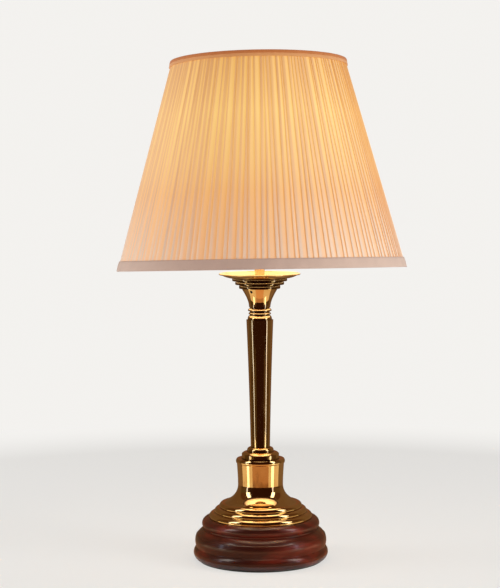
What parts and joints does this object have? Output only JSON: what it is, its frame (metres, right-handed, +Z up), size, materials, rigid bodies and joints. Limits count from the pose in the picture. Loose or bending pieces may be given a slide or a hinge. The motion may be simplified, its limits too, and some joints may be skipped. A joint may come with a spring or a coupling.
{
  "type": "candlestick table lamp",
  "caption": "Candlestick table lamp: turned wood plinth, spun brass foot, tapered brass column, drip pan and a pleated cloth shade that tilts and turns above the bulb.",
  "frame": {"origin": "centre of the underside, on the surface the lamp stands on", "axes": "+Z up along the column, the lamp is seen from the front along +Y, the cord inlet is at the back"},
  "size_m": [0.332, 0.3317, 0.5811],
  "materials": {
    "baize": "matt felt",
    "mahogany": "glossy dark red-brown polish",
    "brass": "polished, softly worn",
    "steel": "plain",
    "terminal_plastic": "matt",
    "black_plastic": "moulded, glossy",
    "lead_green": "smooth insulation",
    "lead_brown": "smooth insulation",
    "lead_blue": "smooth insulation",
    "porcelain": "glazed white",
    "nickel": "bright metal",
    "bulb_glass": "clear, lit",
    "filament": "glowing",
    "frame_wire": "cream enamel",
    "lining_cloth": "smooth cloth",
    "pleated_cloth": "pleated, lit from inside",
    "trim_braid": "narrow folded strips",
    "hem_cloth": "folded band"
  },
  "bodies": {
    "lamp_base": {"base_pad": "baize", "plinth": "mahogany", "cord_bush": "brass", "foot": "brass", "lower_collar": "brass", "upper_collar": "brass", "column": "brass", "neck": "brass", "capital_bell": "brass", "grub_screw": "steel", "step_ring": "brass", "drip_pan": "brass", "riser_sleeve": "brass", "tie_rod": "steel", "rod_washer": "steel", "rod_nut": "steel", "terminal_block": "terminal_plastic", "terminal_screws": "brass", "earth_lead": "lead_green", "live_lead": "lead_brown", "neutral_lead": "lead_blue", "holder_cap": "brass", "holder_nut": "steel", "holder_shell": "brass", "holder_insert": "porcelain", "screw_shell": "nickel", "clamp_ring_lower": "black_plastic", "clamp_ring_upper": "black_plastic", "carrier_ring": "brass", "carrier_wires": "brass", "carrier_hub": "brass", "carrier_nut": "brass"},
    "contact": {"centre_contact": "brass"},
    "bulb": {"bulb_contact": "nickel", "bulb_insulator": "black_plastic", "bulb_cap": "nickel", "bulb_glass": "bulb_glass", "bulb_stem": "bulb_glass", "filaments": "filament"},
    "switch": {"switch_bar": "black_plastic"},
    "gimbal": {"gimbal_plate": "brass", "gimbal_pins": "steel"},
    "shade": {"gimbal_ring": "frame_wire", "drop_arms": "frame_wire", "top_wire_ring": "frame_wire", "bottom_wire_ring": "frame_wire", "frame_struts": "frame_wire", "shade_lining": "lining_cloth", "shade_cover": "pleated_cloth", "top_trim": "trim_braid", "hem_trim": "hem_cloth"}
  },
  "joints": [
    {"name": "shade_turn", "type": "hinge", "parent": "lamp_base", "child": "gimbal", "pos_m": [0, 0, 0.54105], "axis": [0, 0, 1], "continuous": true},
    {"name": "shade_tilt", "type": "hinge", "parent": "gimbal", "child": "shade", "pos_m": [0, 0, 0.54105], "axis": [0.9681, 0.2504, 0], "range_deg": [-17.21, 22.79]},
    {"name": "contact_lift", "type": "slide", "parent": "lamp_base", "child": "contact", "axis": [0, 0, 1], "range_m": [0, 0.0022]},
    {"name": "bulb_turn", "type": "hinge", "parent": "contact", "child": "bulb", "pos_m": [0, 0, 0.4169], "axis": [0, 0, 1], "range_deg": [0, 216]},
    {"name": "switch_push", "type": "slide", "parent": "lamp_base", "child": "switch", "axis": [1, 0, 0], "range_m": [-0.004, 0]}
  ],
  "couplings": [
    {"joint": "contact_lift", "follows": "bulb_turn", "m_per_rad": 0.00057757}
  ]
}
